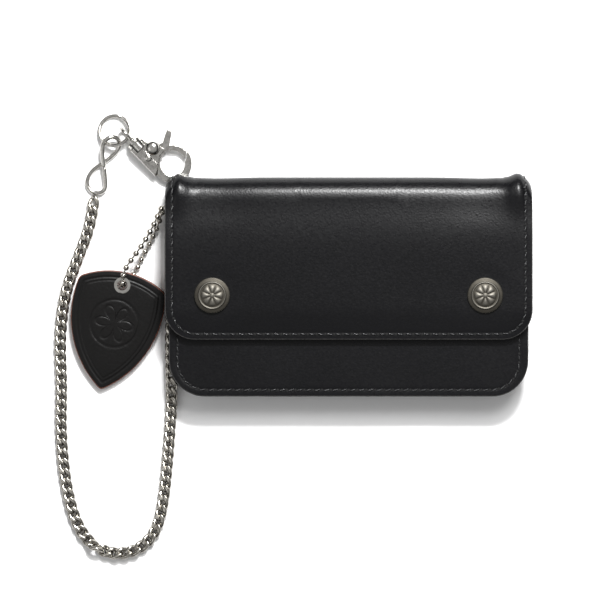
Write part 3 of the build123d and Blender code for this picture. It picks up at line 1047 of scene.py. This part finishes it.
link_route = [
    (-112.4, 55.0, 3.5),
    (-113.6, 62.5, 4.6),
    (-112.2, 67.4, 4.9),
    (-108.6, 69.4, 4.6),
    (-105.3, 67.8, 3.1),
    (-105.6, 63.0, 1.5),
    (-111.6, 57.8, 0.95),
    (-118.4, 53.6, 0.95),
    (-120.8, 48.0, 0.95),
    (-118.9, 44.0, 1.0),
    (-114.6, 42.8, 1.4),
    (-111.6, 45.0, 2.0),
    (-111.8, 50.0, 3.0),
    (-112.4, 54.8, 3.45),
]
eight_wire = 1.02
link_line = Along(route_line(link_route))
eight_shape = Parts()
eight_shape.add(*tube([link_line.point(d) for d in spread(0, link_line.length, 0.7)], eight_wire, 14))
eight = eight_shape.piece("eight_link_wire", [nickel])
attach(eight, "wallet")
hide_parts("eight_link")


# ---- The tag -------------------------------------------------------------------------------------

tag_frame = (
    Matrix.Translation((-103.8, 0.9, 3.7))
    @ Matrix.Rotation(math.radians(-12), 4, "Z")
    @ Matrix.Rotation(math.radians(4.2), 4, "X")
)
shoulder_x = 20.2
crown_y = 6.1
tip_y = -49.4
tag_layer = 1.5
eyelet_hole = 2.95
border_insets = (2.9, 4.4)


def arc_points(a, b, c, count):
    """Points on the circle through three points, from the first to the last."""
    ax, ay = a
    bx, by = b
    cx, cy = c
    d = 2 * (ax * (by - cy) + bx * (cy - ay) + cx * (ay - by))
    ux = ((ax**2 + ay**2) * (by - cy) + (bx**2 + by**2) * (cy - ay) + (cx**2 + cy**2) * (ay - by)) / d
    uy = ((ax**2 + ay**2) * (cx - bx) + (bx**2 + by**2) * (ax - cx) + (cx**2 + cy**2) * (bx - ax)) / d
    radius = math.hypot(ax - ux, ay - uy)
    start = math.atan2(ay - uy, ax - ux)
    end = math.atan2(cy - uy, cx - ux)
    turn = (end - start + math.pi) % (2 * math.pi) - math.pi
    return [
        (ux + radius * math.cos(start + turn * i / count), uy + radius * math.sin(start + turn * i / count))
        for i in range(count)
    ]


tag_outline = arc_points((-shoulder_x, 0.2), (0, crown_y), (shoulder_x, 0.2), 64)
tag_outline += arc_points((shoulder_x, 0.2), (19.3, -23.0), (0, tip_y), 88)
tag_outline += arc_points((0, tip_y), (-19.3, -23.0), (-shoulder_x, 0.2), 88)
for _ in range(5):
    tag_outline = [
        tuple((np.array(p) + 2 * np.array(q) + np.array(r)) / 4)
        for p, q, r in zip(tag_outline[-1:] + tag_outline[:-1], tag_outline, tag_outline[1:] + tag_outline[:1])
    ]
outline_array = np.array(tag_outline)
motif_centre = (0.0, -18.0)


def tag_relief(x, y):
    """Embossing: two border lines that follow the edge, and a plain six-petalled rosette in a ring."""
    edge = float(np.min(np.hypot(outline_array[:, 0] - x, outline_array[:, 1] - y)))
    lines = -0.30 * bell(edge, border_insets[0], 0.42) - 0.22 * bell(edge, border_insets[1], 0.3)
    r = math.hypot(x - motif_centre[0], y - motif_centre[1])
    angle = math.atan2(y - motif_centre[1], x - motif_centre[0])
    circle = -0.28 * bell(r, 11.0, 0.4)
    reach = 8.6 * abs(math.cos(3 * angle)) ** 0.55
    petal = -0.26 * bell(r, reach, 0.45) if r > 1.6 else 0.0
    crowned = 0.5 * (1 - math.exp(-edge / 6.0))
    return lines + circle + petal + crowned


def tag_sheet(name, low, high, relief, materials, node):
    """One layer of the tag, from its own outline, with a rounded rim."""
    centre = np.array((0.0, -16.0))
    parts = Parts()
    count = len(tag_outline)
    shares = [1.0 - 0.016 * i for i in range(1, 30)] + [0.53 - 0.02 * i for i in range(26)]
    layers = []
    for share in reversed([s for s in shares if s > 0.01]):
        points = centre + share * (outline_array - centre)
        layers.append([(x, y, high + (tag_relief(x, y) if relief else 0.0)) for x, y in points])
    for share, z in ((0.995, high - 0.12), (1.0, high - 0.45), (1.0, low + 0.35), (0.99, low)):
        points = centre + share * (outline_array - centre)
        layers.append([(x, y, z) for x, y in points])
    verts = [tuple(tag_frame @ Vector(p)) for layer in layers for p in layer]
    faces = [tuple(range(count))[::-1]]
    for i in range(len(layers) - 1):
        a = i * count
        for k in range(count):
            m = (k + 1) % count
            faces.append((a + k, a + m, a + count + m, a + count + k))
    last = (len(layers) - 1) * count
    faces.append(tuple(range(last, last + count)))
    rim_from = len(layers) - 5
    slots = [0] + [int(i >= rim_from) for i in range(len(layers) - 1) for _ in range(count)] + [1]
    parts.verts, parts.faces, parts.slots = verts, faces, slots
    piece = parts.piece(name, materials)
    punch = Parts()
    punch.add(*placed(lathe([(0, -6), (eyelet_hole, -6), (eyelet_hole, 9), (0, 9)], 40), tag_frame))
    tool = punch.piece("punch_tool", [materials[0]], smooth=False)
    modified(piece, ("BOOLEAN", {"object": tool, "operation": "DIFFERENCE", "solver": "EXACT"}))
    bpy.data.objects.remove(tool)
    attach(piece, "wallet")
    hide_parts(node)
    return piece


tag_sheet("tag_face_leather", tag_layer, 2 * tag_layer, True, [tag_black, tag_core], "tag_face")
tag_sheet("tag_back_leather", 0.0, tag_layer, False, [tag_core, tag_core], "tag_back")


# ---- Zip teeth -----------------------------------------------------------------------------------

teeth = Parts()
tooth_pitch = 1.5
for n in range(int(2 * zip_half_length / tooth_pitch)):
    x = -zip_half_length + (n + 0.5) * tooth_pitch
    lean = 0.35 if n % 2 else -0.35
    tooth_axis = [(0, -1.15, 0), (0, -1.0, 0), (0, 1.0, 0), (0, 1.15, 0)]
    shape = tube(tooth_axis, [0.3, 0.5, 0.5, 0.3], 8, flatten=(1.0, 0.75))
    teeth.add(*placed(shape, Matrix.Translation((x, zip_y + lean, 15.0))))
zip_teeth = teeth.piece("zip_teeth_rows", [zip_metal])
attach(zip_teeth, "wallet")
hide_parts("zip_teeth")
